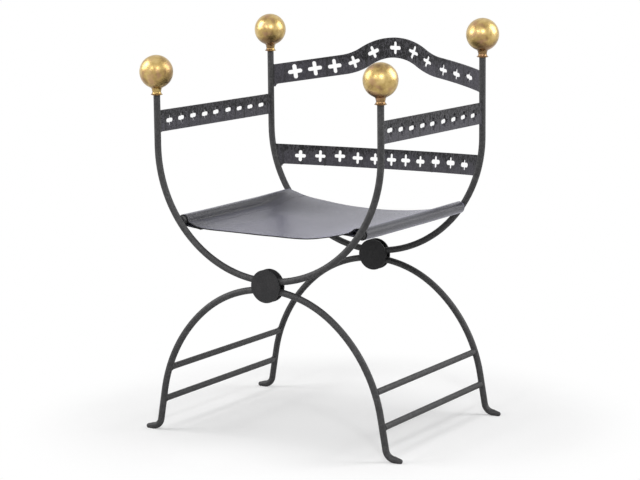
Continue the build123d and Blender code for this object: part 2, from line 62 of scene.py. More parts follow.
class Signal:
    """A number socket that can be written in a Python expression."""

    def __init__(self, graph: "Graph", socket: Socket) -> None:
        """Keeps the socket and the graph that its Math nodes are added to."""
        self.graph = graph
        self.socket = socket

    def _maths(self, operation: str, first: Any, second: Any) -> "Signal":
        """Adds one Math node to the graph.

        Args:
            operation: The Math node's operation.
            first: A Signal or a number.
            second: A Signal or a number.

        Returns:
            The node's result.
        """
        settings = {"operation": operation}
        return self.graph.number("ShaderNodeMath", settings, {0: first, 1: second})

    def __add__(self, other: Any) -> "Signal":
        """Sum."""
        return self._maths("ADD", self, other)

    def __radd__(self, other: Any) -> "Signal":
        """Sum, from the right."""
        return self._maths("ADD", other, self)

    def __sub__(self, other: Any) -> "Signal":
        """Difference."""
        return self._maths("SUBTRACT", self, other)

    def __rsub__(self, other: Any) -> "Signal":
        """Difference, from the right."""
        return self._maths("SUBTRACT", other, self)

    def __mul__(self, other: Any) -> "Signal":
        """Product."""
        return self._maths("MULTIPLY", self, other)

    def __rmul__(self, other: Any) -> "Signal":
        """Product, from the right."""
        return self._maths("MULTIPLY", other, self)

    def __abs__(self) -> "Signal":
        """Size without its sign."""
        return self._maths("ABSOLUTE", self, 0.0)

    def least(self, other: Any) -> "Signal":
        """The smaller of two values."""
        return self._maths("MINIMUM", self, other)


class Graph:
    """The node tree of a material or of the world."""

    def __init__(self, owner: bpy.types.Material | bpy.types.World) -> None:
        """Empties the owner's tree.

        Args:
            owner: The material or the world.
        """
        owner.use_nodes = True
        self.tree = owner.node_tree
        self.tree.nodes.clear()

    def node(
        self,
        kind: str,
        settings: Mapping[str, Any] | None = None,
        inputs: Mapping[str | int, Any] | None = None,
    ) -> bpy.types.Node:
        """Adds a node of any type.

        Args:
            kind: The node's type.
            settings: Its properties, set first; "stops" are a ramp's places and colours.
            inputs: Values or links of its sockets, by name or number.

        Returns:
            The node.
        """
        made = self.tree.nodes.new(kind)
        for name, value in (settings or {}).items():
            if name == "stops":
                self._set_stops(made.color_ramp, value)
            else:
                setattr(made, name, value)
        for key, value in (inputs or {}).items():
            self._feed(self._socket(made, key), value)
        return made

    @staticmethod
    def _set_stops(ramp: bpy.types.ColorRamp, stops: Sequence[tuple[float, Colour]]) -> None:
        """Gives a colour ramp its stops.

        Args:
            ramp: The ramp.
            stops: Two or more places, each with its colour.
        """
        while len(ramp.elements) < len(stops):
            ramp.elements.new(1.0)
        for element, (place, colour) in zip(ramp.elements, stops):
            element.position = place
            element.color = (*colour, 1.0)

    @staticmethod
    def _socket(made: bpy.types.Node, key: str | int) -> Socket:
        """Finds an input.

        Args:
            made: The node.
            key: The input's number, or its name among those in use.

        Returns:
            The input.
        """
        if isinstance(key, int):
            return made.inputs[key]
        return next(s for s in made.inputs if s.name == key and s.enabled)

    def _feed(self, socket: Socket, value: Any) -> None:
        """Links or sets one input.

        Args:
            socket: The input.
            value: A Signal, an output socket, a colour, a vector or a number.
        """
        if isinstance(value, Signal):
            value = value.socket
        if isinstance(value, Socket):
            self.tree.links.new(value, socket)
        elif socket.type == "RGBA":
            socket.default_value = (*value, 1.0)
        else:
            socket.default_value = value

    def number(
        self,
        kind: str,
        settings: Mapping[str, Any] | None = None,
        inputs: Mapping[str | int, Any] | None = None,
        output: int = 0,
    ) -> Signal:
        """Adds a node and wraps one of its outputs as a number.

        Args:
            kind: The node's type.
            settings: Its properties.
            inputs: Values or links of its sockets.
            output: Number of the output that is wanted.

        Returns:
            The output, for use in expressions.
        """
        return Signal(self, self.node(kind, settings, inputs).outputs[output])

    def place(self) -> Socket:
        """Object coordinates, which are the row frame in metres."""
        return self.node("ShaderNodeTexCoord").outputs["Object"]

    def unrolled(self, size: tuple[float, float]) -> Socket:
        """The piece's own UV map, in metres of the flat cut."""
        flat = self.node("ShaderNodeUVMap").outputs["UV"]
        return self.mapped(flat, scale=(*size, 1.0))

    def mapped(
        self,
        at: Socket,
        centre: Point = (0.0, 0.0, 0.0),
        turn: Point = (0.0, 0.0, 0.0),
        scale: Point = (1.0, 1.0, 1.0),
    ) -> Socket:
        """Centres, turns or stretches coordinates.

        Args:
            at: The coordinates.
            centre: The place that becomes the origin.
            turn: Angles about the three axes, in radians.
            scale: Stretch along the three axes.

        Returns:
            The new coordinates.
        """
        inputs = {"Vector": at, "Location": centre, "Rotation": turn}
        moved = self.node("ShaderNodeMapping", {"vector_type": "TEXTURE"}, inputs)
        inputs = {"Vector": moved.outputs[0], "Scale": scale}
        return self.node("ShaderNodeMapping", {"vector_type": "POINT"}, inputs).outputs[0]

    def cloud(
        self,
        at: Socket,
        scale: float,
        detail: float,
        roughness: float = 0.5,
    ) -> Signal:
        """Soft noise of about 0 to 1.

        Args:
            at: The coordinates it reads.
            scale: Number of its lumps in a metre.
            detail: Octaves of finer noise.
            roughness: Strength of the finer noise.

        Returns:
            The noise.
        """
        inputs = {"Vector": at, "Scale": scale, "Detail": detail, "Roughness": roughness}
        return self.number("ShaderNodeTexNoise", None, inputs)

    def grain(
        self, at: Socket, scale: Point, detail: float, roughness: float = 0.5
    ) -> Signal:
        """Noise with its own number of lumps in a metre along each axis."""
        return self.cloud(self.mapped(at, scale=scale), 1.0, detail, roughness)

    def parts(self, way: Socket) -> list[Signal]:
        """A vector's three numbers."""
        split = self.node("ShaderNodeSeparateXYZ", None, {0: way})
        return [Signal(self, part) for part in split.outputs]

    def step(self, value: Any, low: float, high: float) -> Signal:
        """Rises smoothly from 0 to 1.

        Args:
            value: What it follows.
            low: The value where it is 0.
            high: The value where it is 1, which may be the lesser of the two.

        Returns:
            The rise.
        """
        settings = {"interpolation_type": "SMOOTHSTEP", "clamp": True}
        inputs = {"Value": value, "From Min": low, "From Max": high}
        return self.number("ShaderNodeMapRange", settings, inputs)

    def blend(self, share: Any, first: Any, second: Any) -> Socket:
        """Mixes two colours.

        Args:
            share: How much of the second colour there is.
            first: A colour or a colour socket.
            second: A colour or a colour socket.

        Returns:
            The mixed colour.
        """
        inputs = {"Factor": share, "A": first, "B": second}
        made = self.node("ShaderNodeMix", {"data_type": "RGBA"}, inputs)
        return next(s for s in made.outputs if s.enabled)

    def relief(self, height: Any, depth: float) -> Socket:
        """Bumps the surface.

        Args:
            height: Height of about 0 to 1.
            depth: What a height of 1 stands for, in metres.

        Returns:
            The bumped normal.
        """
        inputs = {"Height": height, "Distance": depth, "Strength": 1.0}
        return self.node("ShaderNodeBump", None, inputs).outputs[0]

    def either(self, share: Any, first: bpy.types.Node, second: bpy.types.Node, end: str) -> None:
        """Ends the tree in a mix of two shaders.

        Args:
            share: How much of the second shader there is.
            first: A shader node.
            second: A shader node.
            end: The output node's type.
        """
        inputs = {0: share, 1: first.outputs[0], 2: second.outputs[0]}
        both = self.node("ShaderNodeMixShader", None, inputs)
        self.node(end, None, {"Surface": both.outputs[0]})

    def surface(self, inputs: Mapping[str, Any]) -> None:
        """Ends the tree in a Principled shader with these inputs."""
        shader = self.node("ShaderNodeBsdfPrincipled", None, inputs)
        self.node("ShaderNodeOutputMaterial", None, {"Surface": shader.outputs[0]})


# ---------------------------------------------------------------- finishes


class Slot(Enum):
    """The material slots."""

    IRON = "iron"
    BRASS = "brass"
    STEEL = "steel"
    LEATHER = "leather"


@dataclass(frozen=True)
class Finish:
    """A finish of the chair: its name and the material slot that it belongs to."""

    name: str
    slot: Slot

    def material(self) -> bpy.types.Material:
        """Makes the finish's material.

        Returns:
            The material.
        """
        made = bpy.data.materials.new(self.name)
        self.paint(Graph(made))
        return made

    def paint(self, graph: Graph) -> None:
        """Builds the node tree; each finish has its own."""
        raise NotImplementedError


@dataclass(frozen=True)
class ForgedBar(Finish):
    """Round bar, blackened in the forge and waxed, with a sandy scale on it."""

    base: Colour = (0.0270, 0.0265, 0.0275)
    rubbed: Colour = (0.0540, 0.0530, 0.0545)
    scale_black: Colour = (0.0100, 0.0100, 0.0110)
    lustre: float = 0.42

    def paint(self, graph: Graph) -> None:
        """Builds mottled black iron with hammer dents and grit.

        Args:
            graph: The material's graph.
        """
        at = graph.place()
        patches = graph.cloud(at, 38.0, 4.0, 0.6)
        grit = graph.cloud(at, 900.0, 2.0, 0.6)
        dents = graph.cloud(at, 110.0, 1.0)
        blotches = graph.cloud(at, 190.0, 2.0, 0.6)
        colour = graph.blend(graph.step(patches, 0.42, 0.72), self.base, self.rubbed)
        colour = graph.blend(graph.step(blotches, 0.54, 0.40) * 0.7, colour, self.scale_black)
        colour = graph.blend(graph.step(grit, 0.50, 0.30) * 0.55, colour, self.scale_black)
        height = dents * 0.7 + grit * 0.16
        graph.surface(
            {
                "Base Color": colour,
                "Roughness": self.lustre + patches * 0.25 + grit * 0.1,
                "Specular IOR Level": 0.5,
                "Normal": graph.relief(height, 0.0011),
            }
        )


class Course(Enum):
    """The line that a strap follows in plan."""

    STRAIGHT = "straight"
    BOWED = "bowed"


@dataclass(frozen=True)
class ChiselledStrap(Finish):
    """Flat strap, blackened, with chisel lines struck across it and scratches along them."""

    course: Course
    middle: float
    radius: float
    lines: tuple[tuple[float, float], ...]
    centre_height: float
    seed: float
    base: Colour = (0.0370, 0.0345, 0.0460)
    rubbed: Colour = (0.0560, 0.0530, 0.0680)
    soot: Colour = (0.0120, 0.0118, 0.0132)
    line_black: Colour = (0.0035, 0.0035, 0.0040)
    bare: Colour = (0.1200, 0.1160, 0.1260)
    core_fade: tuple[float, float] = (0.0040, 0.0020)
    shoulder_fade: tuple[float, float] = (0.0060, 0.0024)

    def _along(self, graph: Graph, parts: Sequence[Signal]) -> Signal:
        """Distance along the strap from its middle.

        Args:
            graph: The material's graph.
            parts: The separated object coordinates.

        Returns:
            The distance, in metres.
        """
        depth = parts[1] - self.middle
        if self.course is Course.STRAIGHT:
            return depth
        inputs = {0: parts[0], 1: depth}
        turn = graph.number("ShaderNodeMath", {"operation": "ARCTAN2"}, inputs)
        return turn * self.radius

    def _off_line(self, graph: Graph, along: Signal) -> tuple[Signal, Signal]:
        """How near the nearest chisel line is, and how hard the lines there were struck.

        Args:
            graph: The material's graph.
            along: Distance along the strap.

        Returns:
            The line's black core and its raised shoulders, each from 0 to 1.
        """
        core: Any = 0.0
        shoulder: Any = 0.0
        for place, strength in self.lines:
            off = abs(along - place)
            core = core + graph.step(off, *self.core_fade) * strength
            shoulder = shoulder + graph.step(off, *self.shoulder_fade) * (0.4 * strength)
        return core, shoulder

    def paint(self, graph: Graph) -> None:
        """Builds mottled strap iron with chisel lines, streaks, soot and grit.

        Args:
            graph: The material's graph.
        """
        at = graph.place()
        parts = graph.parts(at)
        rise = parts[2] - self.centre_height
        moved = graph.mapped(at, centre=(0.0, 0.0, self.seed))
        patches = graph.cloud(moved, 30.0, 4.0, 0.6)
        grit = graph.cloud(moved, 800.0, 2.0, 0.6)
        wander = graph.cloud(moved, 45.0, 1.0)
        scored = graph.grain(moved, (330.0, 330.0, 26.0), 3.0, 0.65)
        along = self._along(graph, parts) + wander * 0.003 - 0.0015
        core, shoulder = self._off_line(graph, along)
        sooty = graph.step(rise + patches * 0.050 - 0.025, -0.010, 0.014)
        blots = graph.grain(moved, (210.0, 210.0, 120.0), 2.0, 0.6)
        struck = graph.step(blots, 0.47, 0.54) * (0.30 + sooty * 0.70)
        colour = graph.blend(graph.step(patches, 0.40, 0.72), self.base, self.rubbed)
        colour = graph.blend(sooty * 0.6, colour, self.soot)
        colour = graph.blend(graph.step(scored, 0.57, 0.70) * 0.6, colour, self.rubbed)
        colour = graph.blend(struck * 0.9, colour, self.line_black)
        colour = graph.blend(graph.step(grit, 0.58, 0.66) * 0.5, colour, self.bare)
        colour = graph.blend(graph.step(grit, 0.50, 0.30) * 0.4, colour, self.soot)
        colour = graph.blend(core * (0.75 + sooty * 0.25), colour, self.line_black)
        height = shoulder - core * 0.9 - struck * 0.6 + patches * 0.5 + scored * 0.3 + grit * 0.12
        graph.surface(
            {
                "Base Color": colour,
                "Roughness": 0.42 + patches * 0.2 + grit * 0.1 + struck * 0.3,
                "Specular IOR Level": 0.5,
                "Normal": graph.relief(height, 0.0014),
            }
        )


@dataclass(frozen=True)
class HubPlate(Finish):
    """Cut steel disc, black and dull, with a faint mark of the saw."""

    base: Colour = (0.0110, 0.0106, 0.0118)
    rubbed: Colour = (0.0210, 0.0200, 0.0210)

    def paint(self, graph: Graph) -> None:
        """Builds flat black plate with soft patches.

        Args:
            graph: The material's graph.
        """
        at = graph.place()
        patches = graph.cloud(at, 55.0, 4.0, 0.6)
        grit = graph.cloud(at, 1100.0, 2.0, 0.6)
        marks = graph.grain(at, (60.0, 60.0, 1500.0), 2.0)
        colour = graph.blend(graph.step(patches, 0.40, 0.75), self.base, self.rubbed)
        graph.surface(
            {
                "Base Color": colour,
                "Roughness": 0.52 + patches * 0.2,
                "Specular IOR Level": 0.35,
                "Normal": graph.relief(patches * 0.6 + grit * 0.12 + marks * 0.05, 0.001),
            }
        )


@dataclass(frozen=True)
class WeldMetal(Finish):
    """Weld bead, blued and sooty."""

    base: Colour = (0.0180, 0.0175, 0.0190)
    bright: Colour = (0.0480, 0.0460, 0.0450)

    def paint(self, graph: Graph) -> None:
        """Builds dark bead metal with brighter spatter.

        Args:
            graph: The material's graph.
        """
        at = graph.place()
        spatter = graph.cloud(at, 500.0, 3.0, 0.6)
        colour = graph.blend(graph.step(spatter, 0.52, 0.70), self.base, self.bright)
        graph.surface(
            {
                "Base Color": colour,
                "Roughness": 0.38 + spatter * 0.3,
                "Normal": graph.relief(spatter, 0.0006),
            }
        )


@dataclass(frozen=True)
class AgedBrass(Finish):
    """Spun brass under old lacquer, darkened in brown and coppery clouds."""

    centre: Point
    turn: Point
    bright: Colour = (0.62, 0.455, 0.185)
    mellow: Colour = (0.46, 0.320, 0.110)
    umber: Colour = (0.220, 0.130, 0.052)
    coppery: Colour = (0.42, 0.240, 0.135)

    def paint(self, graph: Graph) -> None:
        """Builds brass with cloudy patina, painted shade over its lower half, specks and fine
        spinning marks.

        Args:
            graph: The material's graph.
        """
        level = graph.mapped(graph.place(), self.centre)
        at = graph.mapped(graph.place(), self.centre, self.turn)
        cloudy = graph.cloud(at, 30.0, 3.0, 0.55)
        mottle = graph.cloud(at, 110.0, 3.0, 0.6)
        specks = graph.cloud(at, 520.0, 2.0, 0.6)
        reddened = graph.cloud(graph.mapped(at, centre=(0.3, 0.1, 0.2)), 34.0, 3.0, 0.55)
        rings = graph.grain(level, (8.0, 8.0, 1400.0), 2.0)
        # Painted shade: the colour darkens from just below the ball's middle down to its bottom.
        painted_lower_shade = graph.step(graph.parts(level)[2], -0.006, -0.034)
        # The ramp's value mixes the real patina clouds with this painted shade.
        patina_and_painted_shade = cloudy * 0.88 + mottle * 0.12 + painted_lower_shade * 0.14
        settings = {"stops": ((0.38, self.bright), (0.50, self.mellow), (0.66, self.umber))}
        colour = graph.node("ShaderNodeValToRGB", settings, {"Fac": patina_and_painted_shade}).outputs[0]
        colour = graph.blend(graph.step(reddened, 0.52, 0.68) * 0.7, colour, self.coppery)
        colour = graph.blend(graph.step(specks, 0.66, 0.78) * 0.14, colour, self.umber)
        graph.surface(
            {
                "Base Color": colour,
                "Metallic": 1.0,
                "Roughness": 0.29 + patina_and_painted_shade * 0.12,
                "Coat Weight": 0.3,
                "Coat Roughness": 0.36,
                "Normal": graph.relief(cloudy * 0.9 + rings * 0.01, 0.0003),
            }
        )


@dataclass(frozen=True)
class SlingLeather(Finish):
    """Bridle leather, dyed near black, waxed, with a bluish bloom on the wax."""

    flat: tuple[float, float]
    base: Colour = (0.0230, 0.0232, 0.0275)
    pulled: Colour = (0.0340, 0.0345, 0.0405)
    pore_black: Colour = (0.0130, 0.0130, 0.0150)
    bloom: Colour = (0.74, 0.73, 1.0)
    crease_inset: float = 0.0052

    def paint(self, graph: Graph) -> None:
        """Builds leather with pores, pulled-up wax, soft creases and an edging line.

        Args:
            graph: The material's graph.
        """
        at = graph.unrolled(self.flat)
        waxy = graph.cloud(at, 14.0, 4.0, 0.6)
        creases = graph.grain(at, (150.0, 18.0, 1.0), 3.0, 0.6)
        inputs = {"Vector": at, "Scale": 620.0, "Randomness": 1.0}
        pebble = graph.number("ShaderNodeTexVoronoi", {"feature": "DISTANCE_TO_EDGE"}, inputs)
        pores = graph.step(pebble, 0.16, 0.02)
        lengthwise = graph.parts(at)[1]
        from_edge = lengthwise.least(self.flat[1] - lengthwise)
        edging = graph.step(abs(from_edge - self.crease_inset), 0.0013, 0.0004)
        inked = graph.step(from_edge, 0.0036, 0.0022)
        colour = graph.blend(graph.step(waxy, 0.38, 0.70), self.base, self.pulled)
        colour = graph.blend(pores * 0.4, colour, self.pore_black)
        colour = graph.blend(edging * 0.6 + inked * 0.4, colour, self.pore_black)
        height = pores * -0.10 + creases * 0.10 + waxy * 0.25 - edging * 0.5
        graph.surface(
            {
                "Base Color": colour,
                "Roughness": 0.16 + waxy * 0.07 + pores * 0.03 + inked * 0.6,
                "IOR": 1.52,
                "Sheen Weight": 0.38,
                "Sheen Roughness": 0.35,
                "Sheen Tint": self.bloom,
                "Normal": graph.relief(height, 0.0006),
            }
        )


@dataclass(frozen=True)
class CutLeather(Finish):
    """The leather's cut edge, inked and rubbed."""

    base: Colour = (0.0060, 0.0058, 0.0062)
    fibre: Colour = (0.0160, 0.0150, 0.0150)

    def paint(self, graph: Graph) -> None:
        """Builds a dark edge with fibres.

        Args:
            graph: The material's graph.
        """
        at = graph.place()
        fibres = graph.cloud(at, 1500.0, 2.0, 0.6)
        graph.surface(
            {
                "Base Color": graph.blend(graph.step(fibres, 0.5, 0.75), self.base, self.fibre),
                "Roughness": 0.7 + fibres * 0.2,
                "Specular IOR Level": 0.25,
                "Normal": graph.relief(fibres, 0.0004),
            }
        )


@dataclass(frozen=True)
class WaxedThread(Finish):
    """Black waxed sewing thread."""

    base: Colour = (0.0110, 0.0110, 0.0125)
    lit: Colour = (0.0340, 0.0335, 0.0360)

    def paint(self, graph: Graph) -> None:
        """Builds twisted black thread.

        Args:
            graph: The material's graph.
        """
        at = graph.place()
        twist = graph.grain(at, (900.0, 2600.0, 900.0), 1.0)
        graph.surface(
            {
                "Base Color": graph.blend(graph.step(twist, 0.45, 0.65), self.base, self.lit),
                "Roughness": 0.5 + twist * 0.15,
                "Normal": graph.relief(twist, 0.0003),
            }
        )


# ---------------------------------------------------------------- making pieces


def dress(nodes: Iterable[str], finish: Finish) -> None:
    """Gives CAD nodes a finish.

    Args:
        nodes: The nodes' names.
        finish: The finish they all get.
    """
    material = finish.material()
    for name in nodes:
        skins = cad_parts[name].data.materials
        skins.clear()
        skins.append(material)
        LOG.info("%s dressed in %s", name, finish.name)


def linked(data: bpy.types.ID) -> bpy.types.Object:
    """Puts data in the scene as an object under its own name.

    Args:
        data: A mesh, a curve, a light or a camera.

    Returns:
        The object.
    """
    made = bpy.data.objects.new(data.name, data)
    bpy.context.scene.collection.objects.link(made)
    return made


def mesh_of(name: str, shape: bmesh.types.BMesh) -> bpy.types.Mesh:
    """Turns a bmesh into a smooth mesh.

    Args:
        name: The mesh's name.
        shape: The bmesh, which is freed.

    Returns:
        The mesh.
    """
    mesh = bpy.data.meshes.new(name)
    shape.to_mesh(mesh)
    shape.free()
    for face in mesh.polygons:
        face.use_smooth = True
    return mesh


def finished_piece(
    data: bpy.types.Mesh | bpy.types.Curve, finishes: Sequence[Finish]
) -> bpy.types.Object:
    """Makes a piece of the chair that rides on its frame.

    Args:
        data: Its mesh or curve in the row frame, which gives it its name.
        finishes: Its finishes.

    Returns:
        The piece.
    """
    for finish in finishes:
        data.materials.append(finish.material())
    piece = linked(data)
    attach(piece, CHAIR_BODY)
    LOG.info("%s made", piece.name)
    return piece


def smooth_share(value: float) -> float:
    """Smooth step from 0 to 1."""
    held = min(1.0, max(0.0, value))
    return held * held * (3.0 - 2.0 * held)


def mixed(first: float, second: float, share: float) -> float:
    """A value between two others."""
    return first + (second - first) * share


def drop(shape: bmesh.types.BMesh, spot: Vector, size: Point) -> None:
    """Adds one small rounded lump of metal.

    Args:
        shape: The mesh it is added to.
        spot: Its middle.
        size: Its half lengths along the three axes.
    """
    matrix = Matrix.Translation(spot) @ Matrix.Diagonal((*size, 1.0))
    bmesh.ops.create_uvsphere(shape, u_segments=8, v_segments=5, radius=1.0, matrix=matrix)


def middle_of(name: str) -> Vector:
    """Middle of a CAD node's box."""
    return sum(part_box(name), Vector()) / 2


@dataclass(frozen=True)
class BarFrame:
    """Bows, arches, stretchers and seat rails of round bar."""

    stretchers: tuple[str, ...] = (
        "left_lower_stretcher",
        "left_upper_stretcher",
        "right_lower_stretcher",
        "right_upper_stretcher",
    )
    seat_rails: tuple[str, ...] = ("left_seat_rail", "right_seat_rail")
    bow_centre: float = 0.69275

    def dress(self) -> None:
        """Gives the bars their iron and the hubs their plate."""
        ends = ("front", "rear")
        bars = [f"{end}_{part}" for end in ends for part in ("upper_bow", "lower_arch")]
        dress([*bars, *self.seat_rails, *self.stretchers], ForgedBar("forged_bar", Slot.IRON))
        plates = [f"{end}_hub_disc_{face}" for end in ends for face in ("outer", "inner")]
        dress(plates, HubPlate("hub_plate", Slot.IRON))
        stud = ForgedBar("stud_steel", Slot.STEEL, base=(0.32, 0.32, 0.33), rubbed=(0.4, 0.4, 0.4))
        dress(["finial_studs"], stud)

    def across_leg(self, name: str) -> Vector:
        """Direction across the leg or bow that a cross bar ends on.

        Args:
            name: The cross bar's node.

        Returns:
            The direction, with no depth.
        """
        side = name.split("_")[0]
        middle = middle_of(name)
        if name in self.seat_rails:
            leg = Vector((middle.x, 0.0, middle.z - self.bow_centre))
            return leg.normalized()
        other = next(node for node in self.stretchers if node.startswith(side) and node != name)
        leg = middle_of(other) - middle
        return Vector((leg.z, 0.0, -leg.x)).normalized()


@dataclass(frozen=True)
class Strap:
    """One pierced strap: the line that it follows and where it was struck with the chisel."""

    node: str
    course: Course
    height: float
    end_height: float
    pitch: float
    lines: int
    seed: float
    bow: float = 0.0
    radius: float = 1.0
    lean: float = 0.0
    burred_edges: tuple[float, ...] = ()
    slip: float = 0.016
    slip_walk: tuple[float, float] = (0.77, 0.31)
    blow: float = 0.55
    least_blow: float = 0.15
    blow_walk: tuple[float, float] = (1.31, 4.70)

    def _stray(self, index: int, walk: tuple[float, float]) -> float:
        """Noise for one chisel line, from a walk's stride and row."""
        return noise.noise(Vector((index * walk[0], self.seed, walk[1])))

    def middle(self, rear_plane: float) -> float:
        """Depth of a straight strap's middle, or of the centre of a bowed one's arc.

        Args:
            rear_plane: Depth of the rear posts' axes.

        Returns:
            The depth.
        """
        if self.course is Course.BOWED:
            return rear_plane + self.bow - self.radius
        low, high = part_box(self.node)
        return (low.y + high.y) / 2

    def chisel_lines(self) -> tuple[tuple[float, float], ...]:
        """Strays each chisel line from its even place.

        Returns:
            The lines' places along the strap, each with how hard it was struck.
        """
        made = []
        for index in range(self.lines):
            even = (index - (self.lines - 1) / 2) * self.pitch
            place = even + self._stray(index, self.slip_walk) * self.slip
            struck = self.blow + self._stray(index, self.blow_walk)
            made.append((place, min(1.0, max(self.least_blow, struck))))
        return tuple(made)

    def point(self, along: float, up: float, rear_plane: float) -> Vector:
        """A place on the strap's middle surface.

        Args:
            along: Distance from its middle, along it.
            up: Distance above its middle line.
            rear_plane: Depth of the rear posts' axes.

        Returns:
            The place.
        """
        middle = self.middle(rear_plane)
        if self.course is Course.STRAIGHT:
            low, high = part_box(self.node)
            return Vector(((low.x + high.x) / 2, middle + along, self.height + up))
        turn = along / self.radius
        back = middle + self.radius * math.cos(turn) - rear_plane
        cosine, sine = math.cos(self.lean), math.sin(self.lean)
        across = self.radius * math.sin(turn)
        return Vector(
            (across, rear_plane + back * cosine + up * sine, self.height - back * sine + up * cosine)
        )


@dataclass(frozen=True)
class StrapWork:
    """The four pierced straps, with the burrs that the chisel left on their edges."""

    rear_plane: float = 0.21696
    half_width: float = 0.0254
    burr: Point = (0.0016, 0.0016, 0.0009)
    hard_blow: float = 0.45
    straps: tuple[Strap, ...] = (
        *(
            Strap(node, Course.STRAIGHT, 0.7502, 0.7502, 0.0512, 10, seed, burred_edges=(-1, 1))
            for node, seed in (("left_arm_strap", 1.7), ("right_arm_strap", 5.3))
        ),
        Strap(
            "lower_back_rail",
            Course.BOWED,
            height=0.6210,
            end_height=0.6210,
            pitch=0.0522,
            lines=12,
            seed=8.9,
            bow=0.090,
            radius=0.5248,
            lean=math.radians(6.4),
            burred_edges=(-1,),
        ),
        Strap(
            "crest_rail",
            Course.BOWED,
            height=0.8600,
            end_height=0.8252,
            pitch=0.0526,
            lines=12,
            seed=3.1,
            bow=0.110,
            radius=0.4709,
        ),
    )

    def dress(self) -> None:
        """Gives each strap its iron, with its own chisel lines."""
        for strap in self.straps:
            iron = ChiselledStrap(
                f"{strap.node}_iron",
                Slot.IRON,
                course=strap.course,
                middle=strap.middle(self.rear_plane),
                radius=strap.radius,
                lines=strap.chisel_lines(),
                centre_height=strap.height,
                seed=strap.seed,
            )
            dress([strap.node], iron)

    def burrs(self) -> bpy.types.Object:
        """Raises a small burr where a hard-struck line meets a strap's edge.

        Returns:
            The burrs, as one piece.
        """
        shape = bmesh.new()
        for strap in self.straps:
            for edge in strap.burred_edges:
                for along, struck in strap.chisel_lines():
                    if struck > self.hard_blow:
                        spot = strap.point(along, edge * self.half_width, self.rear_plane)
                        drop(shape, spot, tuple(struck * side for side in self.burr))
        burrs = mesh_of("strap_burrs", shape)
        return finished_piece(burrs, [WeldMetal("burr_metal", Slot.IRON)])


@dataclass(frozen=True)
class WeldWork:
    """Weld beads: saddles round the stretchers, rings at the seat rails, seams at the straps."""

    bar_radius: float = 0.008
    bead_radius: float = 0.0018
    ripple: float = 0.0007
    neck: float = 0.78
    unevenness: float = 0.3
    unevenness_scale: float = 600.0
    edge_inset: float = 0.6
    seam_inset: float = 0.3
    rail_bead: float = 0.35
    least_rise: float = 0.0055
    strap_half_thickness: float = 0.003175
    bow_radius: float = 0.3025
    bow_centre: float = BarFrame.bow_centre

    def _bead(
        self, beads: bpy.types.Curve, line: Sequence[Vector], closed: bool, size: float = 1.0
    ) -> None:
        """Lays one bead, which swells at every second place.

        Args:
            beads: The curve that it is added to.
            line: The places, half a ripple apart.
            closed: Whether the last place joins the first.
            size: Share of the full bead.
        """
        spline = beads.splines.new("POLY")
        spline.points.add(len(line) - 1)
        for index, (point, place) in enumerate(zip(spline.points, line)):
            uneven = 1.0 + self.unevenness * noise.noise(place * self.unevenness_scale)
            point.co = (*place, 1.0)
            point.radius = size * uneven * (1.0 if index % 2 else self.neck)
        spline.use_cyclic_u = closed

    def _ring(self, centre: Vector, radius: float, across: Vector, inward: float) -> list[Vector]:
        """Places round a bar that stands on another one, where it is saddled onto it.

        Args:
            centre: Where the two bars' axes meet.
            radius: Radius of the bar that runs front to rear.
            across: Direction across the other bar.
            inward: Which way the first bar runs, 1 or -1 along the depth.

        Returns:
            The places.
        """
        count = 2 * round(math.pi * radius / self.ripple)
        line = []
        for index in range(count):
            turn = 2 * math.pi * index / count
            way = Vector((math.cos(turn), 0.0, math.sin(turn))) * radius
            away = min(abs(way.dot(across)), self.bar_radius)
            rise = max(math.sqrt(self.bar_radius**2 - away**2), self.least_rise)
            line.append(centre + way + Vector((0.0, inward * rise, 0.0)))
        return line

    def _post_across(self, height: float) -> float:
        """Distance of a bow's axis from the middle plane at a height."""
        drop_height = max(0.0, self.bow_centre - height)
        return math.sqrt(self.bow_radius**2 - drop_height**2)

    def _seam(self, strap: Strap, rear_plane: float, side: int, face: int) -> list[Vector]:
        """Places of the seam between a strap's face and the post that it ends on.

        Args:
            strap: The strap.
            rear_plane: Depth of the rear posts' axes.
            side: Which end of the strap, -1 or 1 along it.
            face: Which of its faces, -1 or 1.

        Returns:
            The places, from the lower edge up.
        """
        half = StrapWork.half_width - self.bead_radius * self.edge_inset
        count = round(2 * half / self.ripple)
        low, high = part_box(strap.node)
        reach = math.sqrt(self.bar_radius**2 - self.strap_half_thickness**2)
        inset = self.bead_radius * self.seam_inset
        out = face * (self.strap_half_thickness + inset)
        line = []
        for index in range(count + 1):
            height = strap.end_height + mixed(-half, half, index / count)
            if strap.course is Course.STRAIGHT:
                end = low.y if side < 0 else high.y
                post = Vector(((low.x + high.x) / 2, end, height))
                line.append(post + Vector((out, -side * inset, 0.0)))
                continue
            across = self._post_across(height)
            turn = math.asin(min(1.0, across / strap.radius))
            inward = Vector((-side * math.cos(turn), math.sin(turn), 0.0)) * reach
            outward = Vector((side * math.sin(turn), math.cos(turn), 0.0)) * out
            line.append(Vector((side * across, rear_plane, height)) + inward + outward)
        return line

    def build(self, bars: BarFrame, work: StrapWork) -> bpy.types.Object:
        """Lays every bead of the chair.

        Args:
            bars: The round bars.
            work: The straps.

        Returns:
            The beads, as one piece.
        """
        beads = bpy.data.curves.new("weld_beads", "CURVE")
        beads.dimensions = "3D"
        beads.bevel_depth = self.bead_radius
        beads.bevel_resolution = 1
        beads.use_fill_caps = True
        joints = (
            (bars.stretchers, "lower_arch", 1.0),
            (bars.seat_rails, "upper_bow", self.rail_bead),
        )
        for names, legs, size in joints:
            for name in names:
                low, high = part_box(name)
                for end, inward in (("front", 1.0), ("rear", -1.0)):
                    centre = middle_of(name)
                    centre.y = middle_of(f"{end}_{legs}").y
                    across = bars.across_leg(name)
                    ring = self._ring(centre, (high.x - low.x) / 2, across, inward)
                    self._bead(beads, ring, closed=True, size=size)
        for strap in work.straps:
            for side in (-1, 1):
                for face in (-1, 1):
                    self._bead(beads, self._seam(strap, work.rear_plane, side, face), closed=False)
        return finished_piece(beads, [WeldMetal("weld_metal", Slot.IRON)])


